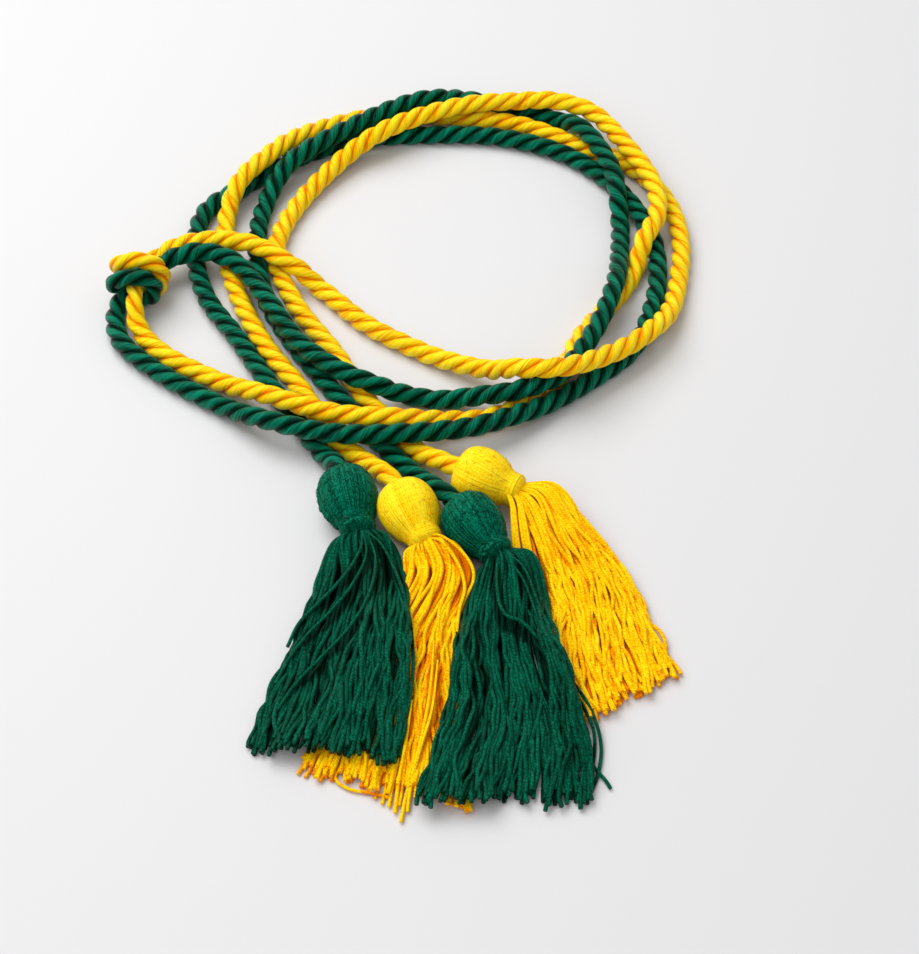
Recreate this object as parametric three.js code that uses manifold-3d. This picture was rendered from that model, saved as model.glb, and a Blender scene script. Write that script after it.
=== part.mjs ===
// Honor cord: two three-strand cords knotted together at their middle, a tassel on each of the four ends.
// It lies as a loose ring on a flat surface. Millimetres, +Z up, the surface at z = 0.
import * as THREE from "three";
import { mergeVertices } from "three/addons/utils/BufferGeometryUtils.js";
import Module from "manifold-3d";

const wasm = await Module();
wasm.setup();

// Cord
const cordDiameter = 6.35;
const cordSides = 12;
const gap = 0.3;

// Head of a tassel: radius along the head as shares of its length and of its widest radius
const headRadius = 9.2;
const neckRadius = 5.2;
const neckLength = 2.4;
const headSides = 16;
const headOutline = [
  [-0.04, 0.52],
  [0.05, 0.74],
  [0.16, 0.9],
  [0.3, 0.985],
  [0.45, 1],
  [0.62, 0.94],
  [0.78, 0.8],
  [0.9, 0.65],
];
const socketRoom = 12;

// Thread wound round the neck
const bindingThread = 1.1;
const bindingSides = 14;

// Skirt: rows from the neck to the hem, with the thickness of the yarns at each row
const locksPerSkirt = 8;
const rowThickness = [6.8, 8.6, 8.2, 5.6, 4.6, 3.6];
const neckHalfWidth = 3.5;
const hemSteps = [0, 2.2, -0.8, 1.6, 0.4, 2.4, -0.6, 1];

// Section of a lock: share of its width from the left, share of the thickness from below
const lockSection = [
  [0, 0.72],
  [0.2, 0.93],
  [0.5, 1],
  [0.8, 0.93],
];
const skirtEdge = 0.5;

// Details smaller than this are merged away
const slightest = 0.03;

// Route of the green cord, from its right tassel through the knot to its left tassel
const greenRoute = [
  [20.6, -47.6, 9.6],
  [15.2, -41.8, 9.7],
  [8.4, -32.6, 5.2],
  [-0.6, -21, 3.2],
  [-10, -8, 3.2],
  [-22.8, 11, 3.2],
  [-37.2, 34, 3.2],
  [-46.3, 54, 3.2],
  [-50.4, 77, 3.2],
  [-49, 99, 3.2],
  [-40.5, 118, 8.3],
  [-19.5, 135.6, 10],
  [3, 150.4, 9.9],
  [13, 153.8, 9.2],
  [26, 158.4, 4.2],
  [46, 153.8, 3.2],
  [58, 146.4, 4.2],
  [64, 138.4, 9],
  [69, 130.5, 10],
  [76, 112, 9.9],
  [77.3, 101, 8.6],
  [78, 90, 4.2],
  [77.2, 75, 5.4],
  [74.8, 55, 9.9],
  [66.5, 30.5, 9.8],
  [54, 10, 9.9],
  [39, 2, 10.1],
  [28, 3, 6.8],
  [14, 4.5, 3.2],
  [2, 6, 4.6],
  [-7, 5.8, 9.3],
  [-17, 10.6, 9.9],
  [-32.5, 24.2, 9.9],
  [-45, 46, 9.9],
  [-58, 65.2, 9.9],
  [-70, 69.5, 9.9],
  [-80, 65.4, 9.8],
  [-87, 61.5, 9.4],
  [-92.4, 60.4, 8.5],
  [-96.3, 56.6, 7.6],
  [-98, 53.4, 10.8],
  [-96.2, 51.6, 14.8],
  [-92.4, 50.6, 16.6],
  [-88.2, 50.4, 16.2],
  [-85, 50.4, 13.8],
  [-83.5, 50.2, 9.8],
  [-85.2, 49.3, 5.1],
  [-89.4, 48.9, 3.2],
  [-94.2, 47.7, 3.2],
  [-97, 42.4, 3.2],
  [-95.4, 34.6, 3.2],
  [-90.4, 27, 3.2],
  [-77, 14.8, 3.2],
  [-58, 1.4, 3.6],
  [-41, -11, 9.6],
  [-20, -17, 10],
  [4, -16.9, 10],
  [25, -13, 8.8],
  [37, -7.4, 7.6],
  [49, 0.6, 4.8],
  [66, 14.6, 3.2],
  [79, 27.5, 3.2],
  [87.6, 49, 3.2],
  [90.3, 71, 3.2],
  [87.8, 89, 3.2],
  [77, 111, 3.2],
  [60, 128.5, 3.2],
  [36, 138.3, 3.2],
  [8, 139.7, 3.2],
  [-16, 137, 3.2],
  [-38, 127, 3.2],
  [-57, 111, 3.2],
  [-69.8, 97.5, 3.2],
  [-72, 76, 3.2],
  [-66.5, 53.5, 3.2],
  [-55, 34, 3.2],
  [-42, 10.5, 3.2],
  [-27, -14.8, 3.2],
  [-21.6, -23.4, 4.2],
  [-18.6, -29.4, 8.4],
  [-17, -35, 9.6],
];

// Route of the gold cord, from its left tassel through the knot to its right tassel
const goldRoute = [
  [1.4, -41.4, 9.6],
  [-1.8, -35.4, 9.4],
  [-7, -27.2, 5],
  [-14, -19.4, 3.2],
  [-22, -10, 3.2],
  [-31.5, 8.5, 3.2],
  [-45, 30, 3.2],
  [-55, 52.5, 3.2],
  [-61, 75, 3.2],
  [-62, 92.5, 3.6],
  [-58, 106, 9.6],
  [-48.5, 120.6, 9.7],
  [-40, 131.4, 8.3],
  [-21, 147, 3.2],
  [0, 151.5, 3.2],
  [22, 149.5, 3.2],
  [44, 145.2, 3.2],
  [66, 132.8, 3.2],
  [83, 122.5, 3.2],
  [95, 104, 3.2],
  [99, 84, 3.2],
  [96.8, 60, 3.2],
  [92.8, 44, 5.4],
  [86.6, 32.6, 9],
  [78, 23.6, 10],
  [67, 15, 12.3],
  [57, 8.2, 15.6],
  [48, 6, 16.8],
  [40, 7.4, 15.4],
  [30, 14, 8],
  [10, 26, 3.2],
  [-10, 39.5, 3.2],
  [-27, 57.5, 3.2],
  [-34, 62.4, 7.4],
  [-41, 66, 9.9],
  [-52, 73.6, 9.9],
  [-66, 78.4, 9.9],
  [-77.5, 76, 9.9],
  [-85.6, 69.7, 9.6],
  [-92.2, 67.3, 8.8],
  [-95.9, 66, 9.2],
  [-98.1, 62.8, 12],
  [-96.3, 58.6, 15.1],
  [-92.6, 57.4, 17],
  [-87.6, 57, 16.7],
  [-82.8, 56.8, 14.6],
  [-81, 57, 10],
  [-82.9, 56.4, 5.2],
  [-86.7, 56, 4.3],
  [-89.7, 54.1, 8.1],
  [-90.4, 49.9, 9.9],
  [-89.6, 45, 9.4],
  [-88.2, 40, 5.8],
  [-84.9, 34.4, 3.2],
  [-76.3, 25.7, 3.2],
  [-58, 12.5, 3.6],
  [-41, 0.2, 9.6],
  [-20, -8, 10],
  [2, -10, 9.9],
  [18, -6.8, 5.2],
  [30, -4, 3.4],
  [40, 1.4, 3.2],
  [54, 14.8, 3.2],
  [62.2, 34, 3.2],
  [77.8, 57.5, 3.2],
  [82.4, 67.5, 3.2],
  [85.8, 77, 9.3],
  [90.6, 88, 10],
  [90.5, 104, 9.9],
  [82, 125, 9.9],
  [69, 144.3, 10.7],
  [56, 150.2, 10.8],
  [42, 151.2, 9.8],
  [24, 149, 9.9],
  [2, 140, 10],
  [-9, 133, 9.4],
  [-20, 125, 6],
  [-37.5, 100, 3.2],
  [-43.6, 77, 3.2],
  [-36.5, 52, 3.2],
  [-21, 25.8, 3.2],
  [-10.5, 5.5, 3.2],
  [0.5, -10, 3.2],
  [7.8, -19.6, 3.6],
  [14.6, -26.8, 7.6],
  [20.8, -32, 9.6],
];

// Neck of each tassel, where its head ends, and the skirt's left and right edges from there to the hem:
// left x and y, right x and y of each row. In the last three rows, "over" says for each of the lines
// between the locks, from left to right, if it lies over another skirt.
const tassels = {
  green_left: {
    neck: [-10.8, -57.6, 8.4],
    bandUnderside: [4, 0.6],
    edges: [
      [-20.5, -64, -1, -60],
      [-23.5, -75, 3.4, -70.5],
      [-30, -96, 5.6, -97],
      [-36, -115, 5.6, -119],
      [-42, -137, 3.6, -143.5],
    ],
    over: [
      [0, 0, 0, 0, 0, 1, 1, 1, 1],
      [0, 0, 0, 0, 1, 1, 1, 1, 1],
      [0, 0, 1, 1, 1, 1, 1, 1, 1],
    ],
  },
  gold_left: {
    neck: [10.6, -62, 8.4],
    bandUnderside: [4, 0.6],
    edges: [
      [4, -66, 20.6, -63.6],
      [3.6, -75, 25, -72],
      [-6, -98, 19.8, -95],
      [-14, -118, 19.6, -120],
      [-27, -145, 24.4, -157],
    ],
    over: [],
  },
  green_right: {
    neck: [32.8, -66.8, 8.4],
    bandUnderside: [4, 0.6],
    edges: [
      [26, -75, 44.4, -67],
      [23, -86, 48, -82],
      [19, -102, 50.4, -100],
      [17.6, -124, 57, -122],
      [8, -158.4, 60, -155],
    ],
    over: [
      [1, 1, 0, 0, 0, 0, 0, 1, 1],
      [1, 1, 0, 0, 0, 0, 0, 1, 1],
      [1, 1, 1, 1, 0, 0, 0, 0, 0],
    ],
  },
  gold_right: {
    neck: [39.4, -40.9, 8.4],
    bandUnderside: [4, 0.6],
    edges: [
      [40.4, -50.4, 51.6, -38],
      [43.4, -61, 62, -53],
      [47.4, -84, 76.4, -79],
      [48.6, -108, 82, -94],
      [52, -131, 88, -108],
    ],
    over: [],
  },
};

// The curve runs through the points of a route in even shares, and stays on the surface where it lies on it.
class CordCurve extends THREE.CatmullRomCurve3 {
  constructor(route) {
    super(route.map((p) => new THREE.Vector3(...p)));
  }

  getPoint(t, target) {
    const p = super.getPoint(t, target);
    p.z = Math.max(p.z, cordDiameter / 2);
    return p;
  }

  getUtoTmapping(u) {
    return u;
  }
}

function circle(radius, sides) {
  const points = [];
  for (let i = 0; i < sides; i++) {
    const a = (2 * Math.PI * i) / sides;
    points.push(new THREE.Vector2(radius * Math.cos(a), radius * Math.sin(a)));
  }
  return new THREE.Shape(points);
}

function toManifold(geometry) {
  geometry.deleteAttribute("normal");
  geometry.deleteAttribute("uv");
  const welded = mergeVertices(geometry, 1e-4);
  const mesh = new wasm.Mesh({
    numProp: 3,
    vertProperties: welded.attributes.position.array,
    triVerts: new Uint32Array(welded.index.array),
  });
  return new wasm.Manifold(mesh);
}

function toGeometry(manifold) {
  const mesh = manifold.getMesh();
  const geometry = new THREE.BufferGeometry();
  geometry.setAttribute("position", new THREE.BufferAttribute(new Float32Array(mesh.vertProperties), 3));
  geometry.setIndex(new THREE.BufferAttribute(new Uint32Array(mesh.triVerts), 1));
  geometry.computeVertexNormals();
  return geometry;
}

function cord(route) {
  return new THREE.ExtrudeGeometry(circle(cordDiameter / 2, cordSides), {
    steps: route.length - 1,
    bevelEnabled: false,
    extrudePath: new CordCurve(route),
  });
}

// Turns a shape made along +Y so that it starts at one point and runs towards another
function place(geometry, from, towards) {
  const turn = new THREE.Quaternion();
  turn.setFromUnitVectors(new THREE.Vector3(0, 1, 0), towards.clone().sub(from).normalize());
  geometry.applyQuaternion(turn);
  geometry.translate(from.x, from.y, from.z);
  return geometry;
}

function lathe(outline, sides) {
  const closed = [...outline, outline[0]];
  return new THREE.LatheGeometry(closed.map((p) => new THREE.Vector2(...p)), sides);
}

// Head and neck in one turned shape. The cord's end stands in a shallow socket in its top.
function head(end, neck, grow) {
  const length = end.distanceTo(neck) - neckLength;
  const outline = [[0, headOutline[0][0] * length - grow]];
  for (const [along, share] of headOutline) {
    outline.push([share * headRadius + grow, along * length]);
  }
  outline[1][1] -= grow;
  outline.push([neckRadius + grow, length]);
  outline.push([neckRadius + grow, length + 2 * neckLength]);
  outline.push([0, length + 2 * neckLength]);
  return toManifold(place(lathe(outline, headSides), end, neck));
}

// The skirt in one piece: locks side by side, flat below and rounded above, drawn out through the rows
function skirt(tassel, end, grow) {
  const rows = rowsOf(tassel, end);
  const firstOver = rows.length - tassel.over.length;
  const rings = rows.map((row, r) => {
    const aside = row.right.clone().sub(row.left).setLength(grow);
    const left = row.left.clone().sub(aside);
    const right = row.right.clone().add(aside);
    const across = (share) => left.clone().lerp(right, share);
    const lift = (line) => (r < firstOver ? 0 : tassel.over[r - firstOver][line] * (rowThickness[r] + 2 * gap));
    const out = (share, step) => {
      if (r < rows.length - 1) {
        return new THREE.Vector3();
      }
      const before = rows[r - 1].left.clone().lerp(rows[r - 1].right, share);
      return across(share).sub(before).setZ(0).setLength(step + grow);
    };
    const top = [];
    const bottom = [];
    for (let i = 0; i < locksPerSkirt; i++) {
      bottom.push(across(i / locksPerSkirt).add(new THREE.Vector3(0, 0, lift(i))));
      for (const [along, up] of lockSection) {
        const share = (i + along) / locksPerSkirt;
        const full = grow > 0 ? 1 : up;
        const height = (i === 0 && along === 0 ? skirtEdge : full) * rowThickness[r] + grow;
        const lifted = lift(i) + (lift(i + 1) - lift(i)) * along;
        const step = along === 0 ? 0 : hemSteps[i];
        top.push(across(share).add(out(share, step)).add(new THREE.Vector3(0, 0, lifted + height)));
      }
    }
    const lastLift = lift(locksPerSkirt);
    bottom.push(across(1).add(new THREE.Vector3(0, 0, lastLift)));
    top.push(across(1).add(new THREE.Vector3(0, 0, lastLift + skirtEdge * rowThickness[r] + grow)));
    return [...top, ...bottom.reverse()];
  });
  const n = rings[0].length;
  const faces = [];
  for (let r = 0; r + 1 < rings.length; r++) {
    for (let i = 0; i < n; i++) {
      const a = r * n + i;
      const b = r * n + ((i + 1) % n);
      faces.push(a, a + n, b, b, a + n, b + n);
    }
  }
  const points = lockSection.length;
  const last = (rings.length - 1) * n;
  for (let i = 0; i < locksPerSkirt; i++) {
    const low = n - 1 - i;
    const next = low - 1;
    const first = i * points;
    const fan = [
      [low, first, first + 1],
      [low, first + 1, first + 2],
      [low, first + 2, next],
      [next, first + 2, first + 3],
      [next, first + 3, first + 4],
    ];
    for (const [a, b, c] of fan) {
      faces.push(a, b, c, last + a, last + c, last + b);
    }
  }
  const geometry = new THREE.BufferGeometry();
  geometry.setAttribute("position", new THREE.Float32BufferAttribute(rings.flat().flatMap((p) => p.toArray()), 3));
  geometry.setIndex(faces);
  return toManifold(geometry);
}

function rowsOf(tassel, end) {
  const neck = new THREE.Vector3(...tassel.neck);
  const axis = neck.clone().sub(end).normalize();
  const across = new THREE.Vector3(-axis.y, axis.x, 0).setLength(neckHalfWidth);
  const root = neck.clone();
  root.z -= rowThickness[0] / 2;
  const rows = [{ left: root.clone().sub(across), right: root.clone().add(across) }];
  tassel.edges.forEach(([leftX, leftY, rightX, rightY], i) => {
    const underside = tassel.bandUnderside[i] ?? 0;
    rows.push({
      left: new THREE.Vector3(leftX, leftY, underside),
      right: new THREE.Vector3(rightX, rightY, underside),
    });
  });
  return rows;
}

function tasselSolid(tassel, end, grow = 0) {
  return head(end, new THREE.Vector3(...tassel.neck), grow).add(skirt(tassel, end, grow));
}

// Room for the cord's end, with the gap all round it
function socket(end, before) {
  const radius = (cordDiameter / 2 + gap) / Math.cos(Math.PI / cordSides);
  const shape = new THREE.CylinderGeometry(radius, radius, socketRoom, cordSides);
  shape.translate(0, -socketRoom / 2 + gap, 0);
  const tangent = end.clone().sub(before);
  return toManifold(place(shape, end, end.clone().add(tangent)));
}

function binding(tassel, end) {
  const neck = new THREE.Vector3(...tassel.neck);
  const axis = neck.clone().sub(end).normalize();
  const inner = (neckRadius + gap) / Math.cos(Math.PI / bindingSides);
  const middle = inner + bindingThread / 2;
  const width = neckLength - 2 * gap;
  const outline = [
    [inner, 0],
    [inner, width],
    [middle, width],
    [inner + bindingThread, width * 0.75],
    [inner + bindingThread, width * 0.25],
    [middle, 0],
  ];
  const start = neck.clone().addScaledVector(axis, gap - neckLength);
  const ring = lathe(outline.reverse(), bindingSides);
  return place(ring, start, start.clone().add(axis));
}

const materials = {
  green: new THREE.MeshStandardMaterial({ color: 0x00664a, roughness: 0.6 }),
  gold: new THREE.MeshStandardMaterial({ color: 0xffcc10, roughness: 0.6 }),
};

const group = new THREE.Group();

function addPiece(name, geometry, colour) {
  const mesh = new THREE.Mesh(geometry, materials[colour]);
  mesh.name = name;
  group.add(mesh);
}

const ends = {
  green_right: { route: greenRoute, at: 0, next: 1 },
  green_left: { route: greenRoute, at: greenRoute.length - 1, next: greenRoute.length - 2 },
  gold_left: { route: goldRoute, at: 0, next: 1 },
  gold_right: { route: goldRoute, at: goldRoute.length - 1, next: goldRoute.length - 2 },
};

addPiece("cord_green", cord(greenRoute), "green");
addPiece("cord_gold", cord(goldRoute), "gold");

function endOf(name) {
  const { route, at } = ends[name];
  return new THREE.Vector3(...route[at]);
}

const goldRoom = tasselSolid(tassels.gold_left, endOf("gold_left"), gap).add(
  tasselSolid(tassels.gold_right, endOf("gold_right"), gap),
);

for (const [name, tassel] of Object.entries(tassels)) {
  const { route, next } = ends[name];
  const end = endOf(name);
  const colour = name.split("_")[0];
  let solid = tasselSolid(tassel, end).trimByPlane([0, 0, 1], 0);
  solid = solid.subtract(socket(end, new THREE.Vector3(...route[next])));
  if (colour === "green") {
    solid = solid.subtract(goldRoom);
  }
  addPiece(`tassel_${name}`, toGeometry(solid.simplify(slightest)), colour);
  addPiece(`binding_${name}`, binding(tassel, end), colour);
}

export default group;
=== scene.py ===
"""Honor cord: two twisted cords, green and gold, knotted together, with a tassel on each of their ends."""

import math
import random

import bpy
import numpy as np
from mathutils import Matrix, Vector


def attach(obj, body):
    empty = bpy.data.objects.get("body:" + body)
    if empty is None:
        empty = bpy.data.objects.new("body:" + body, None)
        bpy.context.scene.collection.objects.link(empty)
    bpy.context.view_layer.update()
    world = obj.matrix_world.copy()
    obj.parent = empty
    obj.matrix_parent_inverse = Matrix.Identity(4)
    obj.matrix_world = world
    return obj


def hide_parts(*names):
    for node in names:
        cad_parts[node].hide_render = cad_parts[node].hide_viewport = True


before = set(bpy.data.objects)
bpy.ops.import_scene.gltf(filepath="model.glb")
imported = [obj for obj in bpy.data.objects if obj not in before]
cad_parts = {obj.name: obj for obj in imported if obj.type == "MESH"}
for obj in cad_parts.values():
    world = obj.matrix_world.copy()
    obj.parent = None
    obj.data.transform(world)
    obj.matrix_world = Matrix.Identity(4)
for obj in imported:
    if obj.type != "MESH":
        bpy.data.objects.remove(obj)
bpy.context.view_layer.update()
MM = 0.001

# The cord: three plies, each an oval PLY_WIDTH times as wide as it is thick
CORD = 6.35 * MM
LAY = 21.0 * MM
PLIES = 3
PLY_RADIUS = 1.64 * MM
PLY_WIDTH = 1.1
PLY_OFFSET = 1.83 * MM
PLY_SIDES = 14
PLY_SHADES = 0.04
PLY_SEED = 5
CORD_STEP = 0.95 * MM
INTO_HEAD = 3.5 * MM

# The knot's middle, how far round it the cords are pulled thin, and how thin
KNOT = np.array([-89, 55, 9]) * MM
KNOT_REACH = 16 * MM
KNOT_FADE = 6 * MM
KNOT_PULL = 0.14

# A tassel's head and its threads. Fullness is a thread's radius and drift its way aside, both as
# shares of the room that each thread has, and lean is how far it turns, in radians
HEAD_RADIUS = 9.2 * MM
HEAD_STEP = 1.0 * MM
HEAD_SLANT = 0.25
HEAD_THREADS = 150
THREAD_SIDES = 5
THREAD_DRIFT = 0.22
THREAD_LEAN = 0.06
THREAD_LEAST = 0.04 * MM
THREAD_SHADES = 0.7
FULLNESS = {"green": 0.7, "gold": 1.0}
CORE_SIDES = 48
CORE_SUNK = 0.02 * MM
LOWEST = 0.05 * MM

# The loose fibres on a head
HAIRS = {"green": 900, "gold": 220}
HAIR_RADIUS = 0.085 * MM
HAIR_SIDES = 3
HAIR_POINTS = 4
HAIR_SHADES = {"green": (0.35, 1.0), "gold": (0.35, 0.7)}

# The neck and the thread wound round it
NECK_RADIUS = 5.2 * MM
NECK_LENGTH = 2.4 * MM
THREAD = 0.3 * MM
BINDING_TURNS = 5
BINDING_STEPS = 28
BINDING_SIDES = 8
BINDING_WOBBLE = 0.12 * MM
TIE_STEPS = 48
TIE_THICKER = 2.0

# The fringe: clumps of yarns over a layer of lower yarns. Roamers are the share of the yarns that
# leave their clump, and roam and stray how far yarns go from it, as shares of the fringe's width
YARN = 0.7 * MM
YARN_SIDES = 6
CLUMPS = 16
YARNS_PER_CLUMP = 7
CLUMP_SPREAD = (2.2, 1.5, 0.9, 0.75, 0.95, 1.5)
LOWER_YARNS = 32
ROAMERS = 0.22
ROAM = 0.16
STRAY = 0.02
YARN_SWELL = ([0, 0.1, 0.35, 1], [0.52, 0.68, 0.98, 1.0])
WAVES_FROM = 8 * MM
WAVES_GROW = 30 * MM
LOOSE_THINNER = 0.84

# Painted shade: how much darker deep yarns and threads are painted, the cells in which a point's depth
# under the highest yarn is taken, and the depths over which that painted shade grows
SUNK_SHADE = {"green": 0.4, "gold": 0.36}
THREAD_SUNK_SHADE = 0.2
SHADE_CELL = 0.8 * MM
DEEP_FROM = 0.5 * MM
DEEP_RANGE = 2.5 * MM

# Each tassel's random draws start from these, plus its number
FRINGE_SEED = 11
HEAD_SEED = 31
BINDING_SEED = 51

# The cords' routes, point by point, in millimetres
GREEN_ROUTE = [
    (20.6, -47.6, 9.6), (15.2, -41.8, 9.7), (8.4, -32.6, 5.2), (-0.6, -21, 3.2), (-10, -8, 3.2),
    (-22.8, 11, 3.2), (-37.2, 34, 3.2), (-46.3, 54, 3.2), (-50.4, 77, 3.2), (-49, 99, 3.2),
    (-40.5, 118, 8.3), (-19.5, 135.6, 10), (3, 150.4, 9.9), (13, 153.8, 9.2), (26, 158.4, 4.2),
    (46, 153.8, 3.2), (58, 146.4, 4.2), (64, 138.4, 9), (69, 130.5, 10), (76, 112, 9.9),
    (77.3, 101, 8.6), (78, 90, 4.2), (77.2, 75, 5.4), (74.8, 55, 9.9), (66.5, 30.5, 9.8),
    (54, 10, 9.9), (39, 2, 10.1), (28, 3, 6.8), (14, 4.5, 3.2), (2, 6, 4.6), (-7, 5.8, 9.3),
    (-17, 10.6, 9.9), (-32.5, 24.2, 9.9), (-45, 46, 9.9), (-58, 65.2, 9.9), (-70, 69.5, 9.9),
    (-80, 65.4, 9.8), (-87, 60.6, 8.6), (-92.4, 58.8, 7.6), (-96, 55.6, 7.6), (-98, 52.4, 10.4),
    (-96.6, 50.8, 13.6), (-92.8, 50.4, 15.4), (-88.4, 50.8, 15.2), (-85, 51.2, 13.2),
    (-83.6, 51.6, 9.6), (-85.5, 51.6, 5.2), (-90, 52.6, 3.6), (-95, 53.4, 4), (-97.2, 46, 3.2),
    (-95.4, 34.6, 3.2), (-90.4, 27, 3.2), (-77, 14.8, 3.2), (-58, 1.4, 3.6), (-41, -11, 9.6),
    (-20, -17, 10), (4, -16.9, 10), (25, -13, 8.8), (37, -7.4, 7.6), (49, 0.6, 4.8),
    (66, 14.6, 3.2), (79, 27.5, 3.2), (87.6, 49, 3.2), (90.3, 71, 3.2), (87.8, 89, 3.2),
    (77, 111, 3.2), (60, 128.5, 3.2), (36, 138.3, 3.2), (8, 139.7, 3.2), (-16, 137, 3.2),
    (-38, 127, 3.2), (-57, 111, 3.2), (-69.8, 97.5, 3.2), (-72, 76, 3.2), (-66.5, 53.5, 3.2),
    (-55, 34, 3.2), (-42, 10.5, 3.2), (-27, -14.8, 3.2), (-21.6, -23.4, 4.2),
    (-18.6, -29.4, 8.4), (-17, -35, 9.6),
]
GOLD_ROUTE = [
    (1.4, -41.4, 9.6), (-1.8, -35.4, 9.4), (-7, -27.2, 5), (-14, -19.4, 3.2), (-22, -10, 3.2),
    (-31.5, 8.5, 3.2), (-45, 30, 3.2), (-55, 52.5, 3.2), (-61, 75, 3.2), (-62, 92.5, 3.6),
    (-58, 106, 9.6), (-48.5, 120.6, 9.7), (-40, 131.4, 8.3), (-21, 147, 3.2), (0, 151.5, 3.2),
    (22, 149.5, 3.2), (44, 145.2, 3.2), (66, 132.8, 3.2), (83, 122.5, 3.2), (95, 104, 3.2),
    (99, 84, 3.2), (96.8, 60, 3.2), (92.8, 44, 5.4), (86.6, 32.6, 9), (78, 23.6, 10),
    (67, 15, 12.3), (57, 8.2, 15.6), (48, 6, 16.8), (40, 7.4, 15.4), (30, 14, 8), (10, 26, 3.2),
    (-10, 39.5, 3.2), (-27, 57.5, 3.2), (-34, 62.4, 7.4), (-41, 66, 9.9), (-52, 73.6, 9.9),
    (-66, 75.6, 9.7), (-77, 72.8, 9.6), (-84.4, 67.4, 8.8), (-90.6, 65.2, 7.8),
    (-94.8, 62.4, 8.6), (-97, 60, 12), (-95.4, 57.6, 15.4), (-92.2, 57.2, 17.2),
    (-87.6, 57.4, 17), (-83, 57.4, 14.6), (-81.4, 57.4, 9.8), (-83.2, 56.4, 5.2),
    (-86.7, 55.8, 4.1), (-89.8, 54, 7.6), (-90.5, 50.2, 9.6), (-90.1, 45, 9.2),
    (-89.4, 40, 5.6), (-86.3, 34, 3.2), (-77.8, 24.8, 3.2), (-58.4, 12.1, 3.6), (-41, 0.2, 9.6),
    (-20, -8, 10), (2, -10, 9.9), (18, -6.8, 5.2), (30, -4, 3.4), (40, 1.4, 3.2),
    (54, 14.8, 3.2), (62.2, 34, 3.2), (77.8, 57.5, 3.2), (82.4, 67.5, 3.2), (85.8, 77, 9.3),
    (90.6, 88, 10), (90.5, 104, 9.9), (82, 125, 9.9), (69, 144.3, 10.7), (56, 150.2, 10.8),
    (42, 151.2, 9.8), (24, 149, 9.9), (2, 140, 10), (-9, 133, 9.4), (-20, 125, 6),
    (-37.5, 100, 3.2), (-43.6, 77, 3.2), (-36.5, 52, 3.2), (-21, 25.8, 3.2), (-10.5, 5.5, 3.2),
    (0.5, -10, 3.2), (7.8, -19.6, 3.6), (14.6, -26.8, 7.6), (20.8, -32, 9.6),
]


class Value:
    """The output of a node, which can be written in sums."""

    def __init__(self, tree, link):
        self.tree = tree
        self.link = link

    def _math(self, operation, *terms):
        return self.tree.add("ShaderNodeMath", {"operation": operation}, dict(enumerate(terms)))

    def __add__(self, other):
        return self._math("ADD", self, other)

    def __radd__(self, other):
        return self._math("ADD", other, self)

    def __sub__(self, other):
        return self._math("SUBTRACT", self, other)

    def __rsub__(self, other):
        return self._math("SUBTRACT", other, self)

    def __mul__(self, other):
        return self._math("MULTIPLY", self, other)

    def __rmul__(self, other):
        return self._math("MULTIPLY", other, self)

    def __truediv__(self, other):
        return self._math("DIVIDE", self, other)

    def __rtruediv__(self, other):
        return self._math("DIVIDE", other, self)

    def sin(self):
        return self._math("SINE", self)

    def cos(self):
        return self._math("COSINE", self)

    def abs(self):
        return self._math("ABSOLUTE", self)

    def power(self, other):
        return self._math("POWER", self, other)

    def clamp(self):
        return self.tree.add("ShaderNodeClamp", {}, {"Value": self})


class Nodes:
    """A node tree, with one method that adds any node."""

    def __init__(self, tree):
        self.tree = tree

    def add(self, kind, settings=None, sockets=None, out=0):
        node = self.tree.nodes.new(kind)
        for name, value in (settings or {}).items():
            if name == "stops":
                self.set_stops(node.color_ramp, value)
            else:
                setattr(node, name, value)
        for key, value in (sockets or {}).items():
            socket = self.find(node.inputs, key)
            if isinstance(value, Value):
                self.tree.links.new(value.link, socket)
            else:
                socket.default_value = value
        return Value(self, self.find(node.outputs, out)) if len(node.outputs) else None

    @staticmethod
    def find(sockets, key):
        if isinstance(key, int):
            return sockets[key]
        by_identifier = [s for s in sockets if s.identifier == key]
        return (by_identifier or [s for s in sockets if s.name == key and s.enabled])[0]

    @staticmethod
    def set_stops(ramp, stops):
        while len(ramp.elements) < len(stops):
            ramp.elements.new(0.5)
        for element, (place, colour) in zip(ramp.elements, stops):
            element.position = place
            element.color = (*colour, 1.0)

    def vector(self, operation, *terms, scale=None, out=0):
        sockets = dict(enumerate(terms))
        if scale is not None:
            sockets["Scale"] = scale
        return self.add("ShaderNodeVectorMath", {"operation": operation}, sockets, out)


# Yarn and cord finishes


def strand_frame(t, turn):
    """The direction out from a strand's middle, turned as it runs along, and the metres run."""
    around = t.add("ShaderNodeAttribute", {"attribute_name": "around"}, out="Vector")
    along = t.add("ShaderNodeAttribute", {"attribute_name": "along"}, out="Fac")
    turned = t.add(
        "ShaderNodeVectorRotate", {"rotation_type": "Z_AXIS"}, {"Vector": around, "Angle": along * turn}
    )
    x = t.add("ShaderNodeSeparateXYZ", {}, {"Vector": turned}, "X")
    y = t.add("ShaderNodeSeparateXYZ", {}, {"Vector": turned}, "Y")
    return x, y, along


def streaks(t, x, y, along, fineness, length):
    """Noise drawn out along a strand: about as many streaks round it as fineness says."""
    place = t.add("ShaderNodeCombineXYZ", {}, {"X": x * fineness, "Y": y * fineness, "Z": along / length})
    return t.add(
        "ShaderNodeTexNoise", {}, {"Vector": place, "Scale": 1.0, "Detail": 3.0, "Roughness": 0.6}, "Fac"
    )


def blank_material(name):
    """A material with an empty tree, and the tree's node adder."""
    material = bpy.data.materials.new(name)
    material.use_nodes = True
    material.node_tree.nodes.clear()
    return material, Nodes(material.node_tree)


# Where on the ramp the dark, the body and the bright colour stand
COLOUR_STOPS = (0.2, 0.5, 0.85)
FIBRE_GLOSS = 0.3
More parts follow.
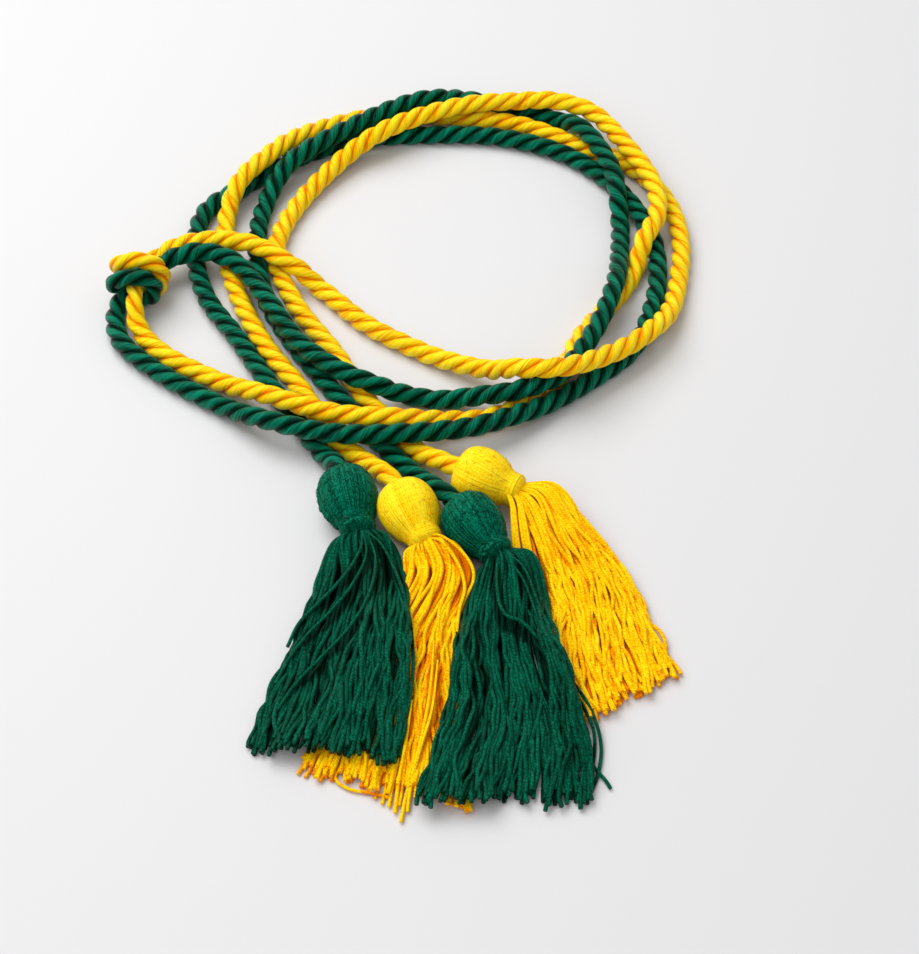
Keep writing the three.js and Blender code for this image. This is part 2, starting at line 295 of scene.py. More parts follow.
# Painted shade in a cord's grooves: a ply is painted darker as it faces outwards less than the first of
# these, over a range of the second, and the whole ply is lifted by the third, so that its crest is painted
# lighter
GROOVE_SHADE_START, GROOVE_SHADE_WIDTH, CREST_LIGHT_LIFT = 0.92, 1.1, 0.14
# How round a yarn's two plies are, for their bump and their painted valley shade, and the mean height of
# such a profile, about which that painted shade is centred
PLY_ROUND, PLY_MEAN = 0.6, 0.75


def spun_material(
    name, colours, *, turn, fineness, length, relief, spread, rough,
    valley_shade=0.0, groove_shade=0.0, grain=160.0, lift=0.0, patchy=0.3,
):
    """Spun fibre along a strand: fine streaks that turn round it as they run along it.

    The strand carries three attributes: around, the direction out from its middle, along, metres
    from its end, and shade, a light or dark of its own, which on fringe yarns, loose fibres and
    bindings also holds painted shade where they lie low or deep among the others. The colours are
    its dark, its body and its bright one. Turn is how fast the streaks go round, in radians to the
    metre, fineness about how many there are round the strand, length how long they are, relief how
    high, and spread how strong in colour. Valley_shade is painted shade: how much darker the valleys
    between the two plies of a twisted yarn are painted, nought for a smooth strand, and when it is
    not nought the bump follows the two plies too. Groove_shade is painted shade: how much darker a
    ply is painted where it lies against the next one, the whole ply then lifted so that its crest is
    painted lighter. Grain is how many light and dark patches it has to the metre, patchy how strong
    they are, and lift how much brighter the whole is.
    """
    material, t = blank_material(name)
    x, y, along = strand_frame(t, turn)
    shade = t.add("ShaderNodeAttribute", {"attribute_name": "shade"}, out="Fac")
    fibres = streaks(t, x, y, along, fineness, length)
    place = t.add("ShaderNodeTexCoord", {}, {}, "Object")
    patches = t.add("ShaderNodeTexNoise", {}, {"Vector": place, "Scale": grain, "Detail": 2.0}, "Fac")
    level = 0.5 + lift + (fibres - 0.5) * spread + (patches - 0.5) * patchy + (shade - 0.5)
    # Painted shade in the grooves where a ply lies against the next, and painted light lifting the crests
    if groove_shade:
        around = t.add("ShaderNodeAttribute", {"attribute_name": "around"}, out="Vector")
        outward = t.add("ShaderNodeSeparateXYZ", {}, {"Vector": around}, "X")
        level = level - ((GROOVE_SHADE_START - outward) / GROOVE_SHADE_WIDTH).clamp() * groove_shade + CREST_LIGHT_LIFT
    height = fibres
    # Painted shade: the valleys between a yarn's two plies are painted darker, and the bump follows the
    # plies
    if valley_shade:
        plies = y.abs().power(PLY_ROUND)
        level = level + (plies - PLY_MEAN) * valley_shade
        height = plies + fibres * 0.3
    stops = list(zip(COLOUR_STOPS, colours))
    colour = t.add("ShaderNodeValToRGB", {"stops": stops}, {"Fac": level}, "Color")
    bump = t.add("ShaderNodeBump", {}, {"Strength": 0.9, "Distance": relief, "Height": height}, "Normal")
    bright = (*colours[-1], 1.0)
    surface = t.add(
        "ShaderNodeBsdfPrincipled",
        {},
        {
            "Base Color": colour,
            "Roughness": rough + (fibres - 0.5) * 0.25,
            "Specular IOR Level": FIBRE_GLOSS,
            "Specular Tint": bright,
            "Sheen Weight": 0.02,
            "Sheen Roughness": 0.5,
            "Sheen Tint": bright,
            "Normal": bump,
        },
    )
    t.add("ShaderNodeOutputMaterial", {}, {"Surface": surface})
    return material


# Each tone's dark, body and bright colours. The dark one is what the painted shade in grooves, ply valleys
# and between yarns goes toward, as well as the darkest fibre streaks; the bright one is reached by the
# painted crest light and the lightest streaks
GREEN = ((0.0, 0.014, 0.007), (0.0002, 0.072, 0.036), (0.001, 0.21, 0.12))
GOLD = ((0.9, 0.24, 0.0), (1.0, 0.63, 0.0), (1.0, 0.83, 0.028))
# Each tone's colours, its cord's painted groove shade, and its heads' lift and patchiness
TONES = (("green", GREEN, 0.95, 0.11, 1.5), ("gold", GOLD, 0.5, 0.14, 1.0))

FINISHES = {}
for tone, colours, groove_shade, head_lift, head_patches in TONES:
    FINISHES[tone] = {
        "cord": spun_material(
            f"{tone}_cord_fibre", colours, turn=300.0, fineness=4.5, length=8.0 * MM,
            relief=0.45 * MM, spread=2.2, rough=0.32, groove_shade=groove_shade,
        ),
        "yarn": spun_material(
            f"{tone}_fringe_yarn", colours, turn=3000.0, fineness=3.0, length=1.6 * MM,
            relief=0.13 * MM, spread=0.6, rough=0.5, valley_shade=0.1, grain=1400.0, lift=-0.05, patchy=0.8,
        ),
        "thread": spun_material(
            f"{tone}_head_thread", colours, turn=1500.0, fineness=1.6, length=0.7 * MM,
            relief=0.12 * MM, spread=1.2, rough=0.5, grain=1900.0, lift=head_lift, patchy=head_patches,
        ),
    }


# Node groups that lay strands along curves


class StrandTree:
    """A Geometry Nodes tree with named inputs, for a piece made of strands."""

    def __init__(self, name, inputs):
        self.group = bpy.data.node_groups.new(name, "GeometryNodeTree")
        self.group.interface.new_socket("Geometry", in_out="INPUT", socket_type="NodeSocketGeometry")
        for label, kind in inputs.items():
            self.group.interface.new_socket(label, in_out="INPUT", socket_type="NodeSocket" + kind)
        self.group.interface.new_socket("Geometry", in_out="OUTPUT", socket_type="NodeSocketGeometry")
        self.nodes = Nodes(self.group)
        node = self.group.nodes.new("NodeGroupInput")
        self.sockets = {s.name: Value(self.nodes, s) for s in node.outputs if s.name}

    def __getitem__(self, label):
        return self.sockets[label]

    def store(self, geometry, name, kind, value, domain="POINT"):
        return self.nodes.add(
            "GeometryNodeStoreNamedAttribute",
            {"data_type": kind, "domain": domain},
            {"Geometry": geometry, "Name": name, "Value": value},
        )

    def random(self, least, most, **sockets):
        """A random number for each element, or for each number in the ID socket."""
        sockets = {"Min_001": least, "Max_001": most, **sockets}
        return self.nodes.add("FunctionNodeRandomValue", {"data_type": "FLOAT"}, sockets, "Value_001")

    def own_shade(self, geometry, spread, seed):
        """Gives each curve a light or dark of its own, about the middle."""
        shade = self.random(0.5 - spread, 0.5 + spread, Seed=seed)
        return self.store(geometry, "shade", "FLOAT", shade, "CURVE")

    def strands(self, curve, radius, sides, scale=1.0, width=1.0):
        """A closed strand along every curve, with its around attribute."""
        circle = self.nodes.add(
            "GeometryNodeCurvePrimitiveCircle", {"mode": "RADIUS"}, {"Resolution": sides, "Radius": radius}
        )
        position = self.nodes.add("GeometryNodeInputPosition")
        circle = self.store(circle, "around", "FLOAT_VECTOR", self.nodes.vector("NORMALIZE", position))
        if width != 1.0:
            wider = self.nodes.vector("MULTIPLY", position, (1.0, width, 1.0))
            circle = self.nodes.add("GeometryNodeSetPosition", {}, {"Geometry": circle, "Position": wider})
        return self.nodes.add(
            "GeometryNodeCurveToMesh",
            {},
            {"Curve": curve, "Profile Curve": circle, "Scale": scale, "Fill Caps": True},
        )

    def finish(self, geometry):
        smooth = self.nodes.add("GeometryNodeSetShadeSmooth", {}, {"Geometry": geometry})
        real = self.nodes.add("GeometryNodeRealizeInstances", {}, {"Geometry": smooth})
        done = self.nodes.add(
            "GeometryNodeSetMaterial", {}, {"Geometry": real, "Material": self["Material"]}
        )
        out = self.group.nodes.new("NodeGroupOutput")
        self.group.links.new(done.link, out.inputs[0])
        return self.group


def plied_cord_tree():
    """Plies laid round a path, turning to the left as they go."""
    tree = StrandTree(
        "Plied cord",
        {
            "Plies": "Int", "Lay": "Float", "Ply radius": "Float", "Ply offset": "Float",
            "Sides": "Int", "Seed": "Int", "Material": "Material",
        },
    )
    n = tree.nodes
    length = n.add("GeometryNodeSplineParameter", out="Length")
    marked = tree.store(tree["Geometry"], "along", "FLOAT", length)
    copies = n.add(
        "GeometryNodeDuplicateElements", {"domain": "SPLINE"}, {"Geometry": marked, "Amount": tree["Plies"]}
    )
    number = Value(n, copies.link.node.outputs["Duplicate Index"])
    turn = number / tree["Plies"] - length / tree["Lay"]
    angle = turn * math.tau
    normal = n.add("GeometryNodeInputNormal", out="Normal")
    tangent = n.add("GeometryNodeInputTangent")
    aside = n.vector("CROSS_PRODUCT", tangent, normal)
    out = n.vector(
        "ADD", n.vector("SCALE", normal, scale=angle.cos()), n.vector("SCALE", aside, scale=angle.sin())
    )
    facing = tree.store(copies, "outward", "FLOAT_VECTOR", out)
    thick = n.add("GeometryNodeInputRadius")
    outward = n.add(
        "GeometryNodeInputNamedAttribute", {"data_type": "FLOAT_VECTOR"}, {"Name": "outward"}, "Attribute"
    )
    laid = n.add(
        "GeometryNodeSetPosition",
        {},
        {"Geometry": facing, "Offset": n.vector("SCALE", outward, scale=tree["Ply offset"] * thick)},
    )
    turned = n.add("GeometryNodeSetCurveNormal", {"mode": "FREE"}, {"Curve": laid, "Normal": outward})
    shaded = tree.own_shade(turned, PLY_SHADES, tree["Seed"])
    plies = tree.strands(shaded, tree["Ply radius"], tree["Sides"], thick, width=PLY_WIDTH)
    return tree.finish(n.add("GeometryNodeRemoveAttribute", {}, {"Geometry": plies, "Name": "outward"}))


def fringe_tree():
    """Loose yarns, one along each curve, as thick as the curve's own radius says."""
    tree = StrandTree(
        "Fringe yarns", {"Yarn radius": "Float", "Sides": "Int", "Material": "Material"}
    )
    length = tree.nodes.add("GeometryNodeSplineParameter", out="Length")
    marked = tree.store(tree["Geometry"], "along", "FLOAT", length)
    radius = tree.nodes.add("GeometryNodeInputRadius")
    return tree.finish(tree.strands(marked, tree["Yarn radius"], tree["Sides"], radius))


def wound_head_tree():
    """Threads drawn from the top of a head to its neck, side by side all round it."""
    tree = StrandTree(
        "Head threads",
        {
            "Threads": "Int", "Fullness": "Float", "Slant": "Float", "Sides": "Int", "Seed": "Int",
            "Material": "Material",
        },
    )
    n = tree.nodes
    copies = n.add(
        "GeometryNodeDuplicateElements",
        {"domain": "SPLINE"},
        {"Geometry": tree["Geometry"], "Amount": tree["Threads"]},
    )
    number = Value(n, copies.link.node.outputs["Duplicate Index"])
    share = n.add("GeometryNodeSplineParameter", out="Factor")
    length = n.add("GeometryNodeSplineParameter", out="Length")
    drift = tree.random(-THREAD_DRIFT, THREAD_DRIFT, ID=number, Seed=tree["Seed"])
    lean = tree.random(-THREAD_LEAN, THREAD_LEAN, ID=number, Seed=tree["Seed"] + 7)
    step = math.tau / tree["Threads"]
    angle = (number + drift) * step + share * (tree["Slant"] + lean)
    position = n.add("GeometryNodeInputPosition")
    turned = n.add(
        "ShaderNodeVectorRotate", {"rotation_type": "Z_AXIS"}, {"Vector": position, "Angle": angle}
    )
    marked = tree.store(copies, "along", "FLOAT", length)
    marked = tree.store(marked, "shade", "FLOAT", 0.5 + drift * THREAD_SHADES)
    laid = n.add("GeometryNodeSetPosition", {}, {"Geometry": marked, "Position": turned})
    flat = n.vector("MULTIPLY", position, (1.0, 1.0, 0.0))
    far = n.vector("LENGTH", flat, out="Value")
    radius = far * step * tree["Fullness"] + THREAD_LEAST
    return tree.finish(tree.strands(laid, 1.0, tree["Sides"], radius))


def put(name, data):
    """A new object in the scene."""
    thing = bpy.data.objects.new(name, data)
    bpy.context.collection.objects.link(thing)
    return thing


def grow(name, curve, group, values):
    """Runs a node group on a curve and gives the result as a plain mesh object."""
    holder = put(name + "_path", curve)
    modifier = holder.modifiers.new(name, "NODES")
    modifier.node_group = group
    for item in group.interface.items_tree:
        if item.item_type == "SOCKET" and item.in_out == "INPUT" and item.name in values:
            modifier[item.identifier] = values[item.name]
    bpy.context.view_layer.update()
    shown = holder.evaluated_get(bpy.context.evaluated_depsgraph_get())
    mesh = bpy.data.meshes.new_from_object(shown)
    mesh.name = name
    holder.modifiers.remove(modifier)
    bpy.data.objects.remove(holder)
    return put(name, mesh)


def open_curve(name, lines, radii=None):
    """A curve object's data with one straight-pieced spline for each list of points."""
    curve = bpy.data.curves.new(name, "CURVE")
    curve.dimensions = "3D"
    curve.twist_mode = "MINIMUM"
    for k, line in enumerate(lines):
        spline = curve.splines.new("POLY")
        spline.points.add(len(line) - 1)
        flat = np.ones((len(line), 4))
        flat[:, :3] = line
        spline.points.foreach_set("co", flat.ravel())
        if radii is not None:
            spline.points.foreach_set("radius", np.asarray(radii[k], dtype=float))
    return curve


def smooth_line(points, per_part):
    """A curve through points in even shares of each part: centripetal, as the solids have it."""
    p = [np.asarray(q, dtype=float) for q in points]
    p = [2 * p[0] - p[1], *p, 2 * p[-1] - p[-2]]
    line = []
    for i in range(1, len(p) - 2):
        a, b, c, d = p[i - 1 : i + 3]
        t0, t1, t2 = (max(np.linalg.norm(v) ** 0.5, 1e-6) for v in (b - a, c - b, d - c))
        m1 = ((b - a) / t0 - (c - a) / (t0 + t1) + (c - b) / t1) * t1
        m2 = ((c - b) / t1 - (d - b) / (t1 + t2) + (d - c) / t2) * t1
        for k in range(per_part):
            s = k / per_part
            line.append(
                b + m1 * s + (-3 * b + 3 * c - 2 * m1 - m2) * s * s + (2 * b - 2 * c + m1 + m2) * s**3
            )
    line.append(p[-2])
    return np.array(line)


def run_along(line):
    """How far along a line each of its points is."""
    return np.concatenate([[0], np.cumsum(np.linalg.norm(np.diff(line, axis=0), axis=1))])


def evenly(line, step):
    """The same line with its points a fixed step apart."""
    reach = run_along(line)
    count = max(int(round(reach[-1] / step)), 2)
    want = np.linspace(0, reach[-1], count + 1)
    return np.stack([np.interp(want, reach, line[:, k]) for k in range(3)], axis=1)


def cord_line(route):
    """The cord's middle line from head to head, its ends drawn on into the heads."""
    line = smooth_line(np.array(route) * MM, per_part=24)
    line[:, 2] = np.maximum(line[:, 2], CORD / 2)
    first = line[0] - (line[1] - line[0]) / np.linalg.norm(line[1] - line[0]) * INTO_HEAD
    last = line[-1] + (line[-1] - line[-2]) / np.linalg.norm(line[-1] - line[-2]) * INTO_HEAD
    return evenly(np.vstack([first, line, last]), CORD_STEP)


PLIED_CORD = plied_cord_tree()
FRINGE = fringe_tree()
HEAD_THREADING = wound_head_tree()

# The camera looks down by PITCH degrees, and its lens is as long as so many pixels of the frame
PITCH = 48.0
SENSOR = 36.0
LENS_PIXELS, FRAME_PIXELS = 2502.2, 954.0

camera_data = bpy.data.cameras.new("camera")
camera_data.sensor_fit = "AUTO"
camera_data.sensor_width = SENSOR
camera_data.lens = LENS_PIXELS * SENSOR / FRAME_PIXELS
camera_data.clip_start = 0.01
camera = put("camera", camera_data)
camera.location = (0.021, -0.5716, 0.6047)
camera.rotation_euler = (math.radians(90.0 - PITCH), 0.0, 0.0)
bpy.context.scene.camera = camera


def lay_cord(colour, route):
    """A plied cord along its route, pulled thin in the knot."""
    line = cord_line(route)
    in_knot = np.clip((KNOT_REACH - np.linalg.norm(line - KNOT, axis=1)) / KNOT_FADE, 0, 1)
    piece = grow(
        f"{colour}_cord",
        open_curve(f"{colour}_cord_path", [line], [1 - KNOT_PULL * in_knot]),
        PLIED_CORD,
        {
            "Plies": PLIES,
            "Lay": LAY,
            "Ply radius": PLY_RADIUS,
            "Ply offset": PLY_OFFSET,
            "Sides": PLY_SIDES,
            "Seed": PLY_SEED,
            "Material": FINISHES[colour]["cord"],
        },
    )
    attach(piece, "root")
    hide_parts(f"cord_{colour}")


lay_cord("green", GREEN_ROUTE)
lay_cord("gold", GOLD_ROUTE)

# Tassels, in millimetres: where the cord ends, the neck's middle, the skirt's left and right edges
# row by row, which way the binding's tie faces, yarns that hang loose, and, for the last rows, where
# across the skirt it lies over the next one
ROW_THICKNESS = [6.8, 8.6, 8.2, 5.6, 4.6, 3.6]
UNDERSIDE = [4, 0.6, 0, 0, 0]
ROOT_HALF_WIDTH = 3.5
SKIRT_PARTS = 8
SKIRT_SIDES = (0.012, 0.988)
OVER_GAP = 0.6
FRONT_YARNS = [
    [(36.1, -44.3, 11), (37.3, -48.6, 10.6), (37.6, -53.8, 9.4), (37.8, -60.4, 7.4),
     (39, -67.1, 4.6), (41.1, -74.8, 2.6)],
    [(36.4, -43.9, 11), (37.8, -48.6, 10.6), (38.2, -53.8, 9.4), (38.6, -60.4, 7.4),
     (39.8, -67.1, 4.6), (42, -75.2, 2.6)],
    [(36.7, -43.4, 11), (38.2, -48.2, 10.6), (38.8, -53.8, 9.4), (39.4, -60.4, 7.4),
     (40.6, -67.1, 4.6), (42.9, -76, 2.6)],
    [(37.4, -43, 11), (39.5, -47.7, 10.6), (40.1, -53.8, 9.4), (40.9, -60.4, 7.4),
     (42.4, -67.1, 4.6), (44.8, -76.8, 2.6)],
    [(37.7, -43, 11), (39.8, -47.3, 10.6), (40.9, -53.8, 9.4), (41.9, -60.8, 7.4),
     (43.4, -67.5, 4.6), (45.7, -77.2, 2.6)],
    [(38, -42.6, 11), (40.5, -47.7, 10.6), (41.6, -53.8, 9.4), (42.8, -61.2, 7.4),
     (44.3, -68.3, 4.6), (46.6, -77.6, 2.6)],
]
YARNS_BELOW = [[(x + 0.6, y + 0.4, max(z - 2.2, 1)) for x, y, z in line] for line in FRONT_YARNS]
TASSELS = {
    "green_left": {
        "end": GREEN_ROUTE[-1],
        "neck": (-10.8, -57.6, 8.4),
        "edges": [
            (-20.5, -64, -1, -60), (-23.5, -75, 3.4, -70.5), (-30, -96, 5.6, -97),
            (-36, -115, 5.6, -119), (-42, -137, 3.6, -143.5),
        ],
        "knot": (-0.5, -0.45, 0.74),
        "loose": [
            [(-10, -59, 11), (-4, -65, 12), (2, -77.2, 9), (5.2, -88.7, 7.5), (6.7, -100.8, 7.4),
             (7.1, -111, 7.4), (6.2, -122, 7), (4.4, -133, 6), (3.3, -142, 5)],
            [(-10, -59, 11), (-9.5, -66, 11.6), (-12.5, -74, 11), (-17.6, -81, 9.2), (-23.5, -87, 7),
             (-28.2, -92, 5), (-31.4, -100, 3.6)],
            [(-9, -60, 11), (-8, -70, 11.6), (-11.5, -80, 10.6), (-18, -89.5, 8.6), (-25, -97, 6.4),
             (-30.5, -105, 4.6), (-34.4, -114, 3.4)],
            [(-8, -60, 11), (-5, -72, 11.8), (-7, -86, 11), (-12.5, -97, 9.4), (-20, -106, 7.4),
             (-28, -115, 5.2), (-35, -127, 3.4)],
        ],
        "over": [(0, 0, 0, 0, 0, 1, 1, 1, 1), (0, 0, 0, 0, 1, 1, 1, 1, 1), (0, 0, 1, 1, 1, 1, 1, 1, 1)],
    },
    "gold_left": {
        "end": GOLD_ROUTE[0],
        "neck": (10.6, -62, 8.4),
        "edges": [
            (4, -66, 20.6, -63.6), (3.6, -75, 25, -72), (-6, -98, 19.8, -95),
            (-14, -118, 19.6, -120), (-27, -145, 24.4, -157),
        ],
        "knot": None,
        "loose": [
            [(10, -62, 11), (14.4, -62.6, 12.4), (18.8, -65.2, 11.6), (22.8, -69, 10),
             (25.2, -73.4, 8.4), (25.2, -77.4, 7), (23.2, -81.6, 5.6), (21.2, -87, 4.4),
             (20, -93, 3.6)],
            [(10, -62.6, 11), (14.6, -64.4, 12), (18.8, -69, 10.6), (21.8, -75, 8.6),
             (22.6, -80.4, 7), (21, -87, 5.6), (20.2, -94.6, 4)],
            [(6, -118, 4.4), (1.5, -128, 3.4), (-5.4, -137.6, 2.4), (-11.8, -142.8, 1.6),
             (-15.3, -145.4, 1), (-15, -147.6, 0.9), (-11, -150.6, 0.9), (-5.1, -151.9, 0.9),
             (0.8, -153.6, 0.9)],
            [(13.3, -100.3, 7), (12.2, -118.7, 6.4), (9.9, -134.4, 5.2), (7.4, -146.4, 3.6),
             (5.2, -154.8, 1.6), (4.1, -162, 0.9)],
            [(6.8, -122, 6), (5, -137.7, 5), (3.3, -148.8, 3), (2.3, -158.9, 0.9)],
            [(14.5, -107.7, 7), (12.8, -125.7, 6), (9.4, -139.2, 4.6), (6.9, -150.4, 2.8),
             (5.9, -158.6, 1)],
            [(5.1, -126.9, 5.2), (3.5, -138.8, 4), (1.6, -148.9, 2.2), (0.5, -156.8, 0.9)],
            [(2.2, -135.4, 1.8), (0.9, -143.5, 1.6), (-0.5, -150, 1.2), (-1.5, -155.8, 0.9)],
            [(0.2, -135.4, 1.8), (-1.2, -142.8, 1.6), (-2.5, -148.6, 1.2), (-3.6, -154, 0.9)],
            [(-1.9, -135.4, 1.8), (-3.3, -142.1, 1.6), (-4.9, -147.2, 1.2), (-6, -152.2, 0.9)],
            [(5.8, -136.2, 4.4), (4.7, -144.5, 3), (4.2, -151.3, 1.6), (3.4, -156.5, 0.9)],
        ],
        "over": [],
    },
    "green_right": {
        "end": GREEN_ROUTE[0],
        "neck": (32.8, -66.8, 8.4),
        "edges": [
            (26, -75, 44.4, -67), (23, -86, 48, -82), (19, -102, 50.4, -100),
            (17.6, -124, 57, -122), (8, -158.4, 60, -155),
        ],
        "knot": (-0.45, -0.5, 0.74),
        "loose": [
            [(33, -68, 11), (40, -74, 12), (45.4, -88, 8.6), (50.2, -103.1, 6.6), (54.2, -113, 5.4),
             (58.8, -120.5, 4), (61.9, -128.9, 2.5), (62.9, -136.2, 1.4), (61.8, -144.5, 1),
             (59, -153, 0.9)],
            [(33, -68, 11), (40, -78, 11), (45, -93, 8.4), (49.5, -106.9, 6.6), (54.2, -115.8, 5),
             (58.2, -123.1, 3.6), (60.9, -130.8, 2), (60.6, -139.6, 1.2), (59.2, -147.3, 0.9)],
            [(45, -118, 6), (49.1, -127.9, 4.4), (51.9, -132.2, 3.4), (55.4, -135.9, 2.4),
             (58.8, -140.6, 1.8), (61.9, -145, 1.2), (63.9, -147.7, 0.9), (65.1, -150.2, 0.8)],
            [(46, -122, 5), (49.6, -132.2, 4), (51.8, -138.8, 3), (54.6, -143.8, 2),
             (56.2, -148.9, 1.2), (57.4, -153.7, 0.9)],
            [(42, -90, 9), (48.3, -109.2, 6.4), (51, -119.7, 5), (55, -127.5, 3.5),
             (58.4, -134, 2.4), (59.4, -140.5, 1.4), (57.4, -147.4, 1), (54.3, -153, 0.9)],
            [(33, -69, 11.4), (32.4, -80, 12.2), (33.4, -89.9, 11.2), (35.8, -94.1, 11),
             (39.4, -95.4, 10.6), (43.6, -99.3, 9.2), (47.8, -104.5, 7.4), (50.6, -111.5, 5.6)],
        ],
        "over": [(1, 1, 0, 0, 0, 0, 0, 1, 1), (1, 1, 0, 0, 0, 0, 0, 1, 1), (1, 1, 1, 1, 0, 0, 0, 0, 0)],
    },
    "gold_right": {
        "end": GOLD_ROUTE[-1],
        "neck": (39.4, -40.9, 8.4),
        "edges": [
            (40.4, -50.4, 51.6, -38), (43.4, -61, 62, -53), (47.4, -84, 76.4, -79),
            (48.6, -108, 82, -94), (52, -131, 88, -108),
        ],
        "knot": None,
        "loose": FRONT_YARNS + YARNS_BELOW,
        "over": [],
    },
}
HEAD_OUTLINE = [
    (-0.04, 0.3), (0.0, 0.52), (0.05, 0.74), (0.16, 0.9), (0.3, 0.985), (0.45, 1), (0.62, 0.94),
    (0.78, 0.8), (0.9, 0.65), (1.0, 0.565),
]


def skirt_rows(tassel):
    """Left and right edge points of each row, and how far each line across the skirt is lifted."""
    neck = np.array(tassel["neck"], dtype=float)
    end = np.array(tassel["end"], dtype=float)
    axis = (neck - end) / np.linalg.norm(neck - end)
    across = np.array([-axis[1], axis[0], 0.0])
    across *= ROOT_HALF_WIDTH / np.linalg.norm(across)
    root = neck - np.array([0, 0, ROW_THICKNESS[0] / 2])
    rows = [(root - across, root + across)]
    for k, (lx, ly, rx, ry) in enumerate(tassel["edges"]):
        z = UNDERSIDE[k]
        rows.append((np.array([lx, ly, z], dtype=float), np.array([rx, ry, z], dtype=float)))
    level = [0] * (SKIRT_PARTS + 1)
    over = [level] * (len(rows) - len(tassel["over"])) + tassel["over"]
    return rows, over


def skirt_line(rows, over, shares, depths, reach):
    """A line down a skirt: at each row a share of the way across it and of the way up through it."""
    points = []
    for r, (left, right) in enumerate(rows):
        s = min(max(shares[r], SKIRT_SIDES[0]), SKIRT_SIDES[1])
        at = left + (right - left) * s
        low = min(int(s * SKIRT_PARTS), SKIRT_PARTS - 1)
        part = s * SKIRT_PARTS - low
        lift = over[r][low] * (1 - part) + over[r][low + 1] * part
        thick = ROW_THICKNESS[r] * (0.55 + 0.45 * math.sin(math.pi * s) ** 0.5)
        if r == len(rows) - 1:
            before = rows[r - 1][0] + (rows[r - 1][1] - rows[r - 1][0]) * s
            out = (at - before) * (1, 1, 0)
            at = at + out / np.linalg.norm(out) * reach
        lifted = at[2] + lift * (ROW_THICKNESS[r] + OVER_GAP)
        points.append((at[0], at[1], lifted + YARN / MM + (thick - 2 * YARN / MM) * depths[r]))
    return points


def wavy(line, rng):
    """Adds slow sideways waves to a line, none of them at its start."""
    step = np.gradient(line, axis=0)
    aside = np.stack([-step[:, 1], step[:, 0], 0 * step[:, 0]], axis=1)
    aside /= np.linalg.norm(aside, axis=1)[:, None]
    run = run_along(line)
    grown = np.clip((run - WAVES_FROM) / WAVES_GROW, 0, 1)
    wave = np.zeros(len(line))
    slow = rng.uniform(0.2, 1.5), rng.uniform(24, 44)
    quick = rng.uniform(0.05, 0.45), rng.uniform(9, 16)
    for size, reach in (slow, quick):
        wave += size * MM * np.sin(math.tau * (run / (reach * MM) + rng.random()))
    line = line + aside * (wave * grown)[:, None]
    line[:, 2] += 0.5 * MM * grown * np.sin(math.tau * (run / (rng.uniform(12, 26) * MM) + rng.random()))
    return line


def yarn_lines(tassel, rng):
    """Middle lines of a fringe's yarns from the neck to the hem: clumps, and yarns that leave theirs."""
    rows, over = skirt_rows(tassel)
    count = len(rows)
    lines = [smooth_line(np.array(points) * MM, per_part=10) for points in tassel["loose"]]
    # Loose yarns lie on top and are painted a little lighter, painted light by height
    shades = [0.55] * len(lines)
    for k in range(LOWER_YARNS):
        shares = [(k + 0.5) / LOWER_YARNS + rng.uniform(-0.02, 0.02) for _ in range(count)]
        depths = [rng.uniform(0.0, 0.12)] * count
        points = skirt_line(rows, over, shares, depths, rng.uniform(-4, 1))
        lines.append(smooth_line(np.array(points) * MM, per_part=9))
        # Lower yarns are painted darker, painted shade under the clumps, each with a random tone of its own
        shades.append(rng.uniform(0.36, 0.48))
    starts = rng.sample(range(CLUMPS), CLUMPS)
    for k in range(CLUMPS):
        middle = (k + 0.5) / CLUMPS
        level = (starts[k] + 0.5) / CLUMPS
        drift = [0.0] + [rng.uniform(-0.05, 0.05) for _ in range(count - 1)]
        length = rng.uniform(-3.4, 1.4)
        for j in range(YARNS_PER_CLUMP):
            own = (j + rng.random()) / YARNS_PER_CLUMP - 0.5
            deep = min(max((j * 5 % YARNS_PER_CLUMP + rng.random()) / YARNS_PER_CLUMP, 0), 1)
            reach = ROAM if rng.random() < ROAMERS else STRAY
            roam = rng.uniform(-reach, reach)
            shares, depths = [], []
            for r in range(count):
                down = r / (count - 1)
                spread = CLUMP_SPREAD[r] / CLUMPS
                shares.append(middle + drift[r] + own * spread + roam * (down**1.5 - 0.35 * (r > 0)))
                depths.append(0.3 + 0.2 * level + 0.5 * deep + rng.uniform(-0.08, 0.12))
            if abs(roam) > STRAY:
                depths = depths[:2] + [1.0 + rng.uniform(0, 0.08)] * (count - 2)
            points = skirt_line(rows, over, shares, depths, length + rng.uniform(-3.6, 1.8))
            lines.append(wavy(smooth_line(np.array(points) * MM, per_part=11), rng))
            # Yarns lying higher in their clump are painted lighter and lower ones darker, painted light and
            # shade by height, each with a random tone of its own
            shades.append(0.46 + 0.1 * deep + rng.uniform(-0.06, 0.06))
    radii = []
    for line in lines:
        line[:, 2] = np.maximum(line[:, 2], YARN)
        at = np.linspace(0, 1, len(line))
        radii.append(np.interp(at, *YARN_SWELL) * rng.uniform(0.9, 1.06))
    for k in range(len(tassel["loose"])):
        radii[k] = radii[k] * LOOSE_THINNER
    return lines, radii, shades


def yarns(name, lines, radii, shades, radius, sides, material, sunk_shade=THREAD_SUNK_SHADE):
    """A piece made of yarns, each with its own shade, darkened by painted shade where it lies deep among
    the others.
    """
    piece = grow(
        name,
        open_curve(f"{name}_path", lines, radii),
        FRINGE,
        {"Yarn radius": radius, "Sides": sides, "Material": material},
    )
    counts = [len(line) * sides for line in lines]
    return shaded(piece, np.repeat(shades, counts), sunk_shade)


def points_of(mesh):
    at = np.empty(len(mesh.vertices) * 3)
    mesh.vertices.foreach_get("co", at)
    return at.reshape(-1, 3)


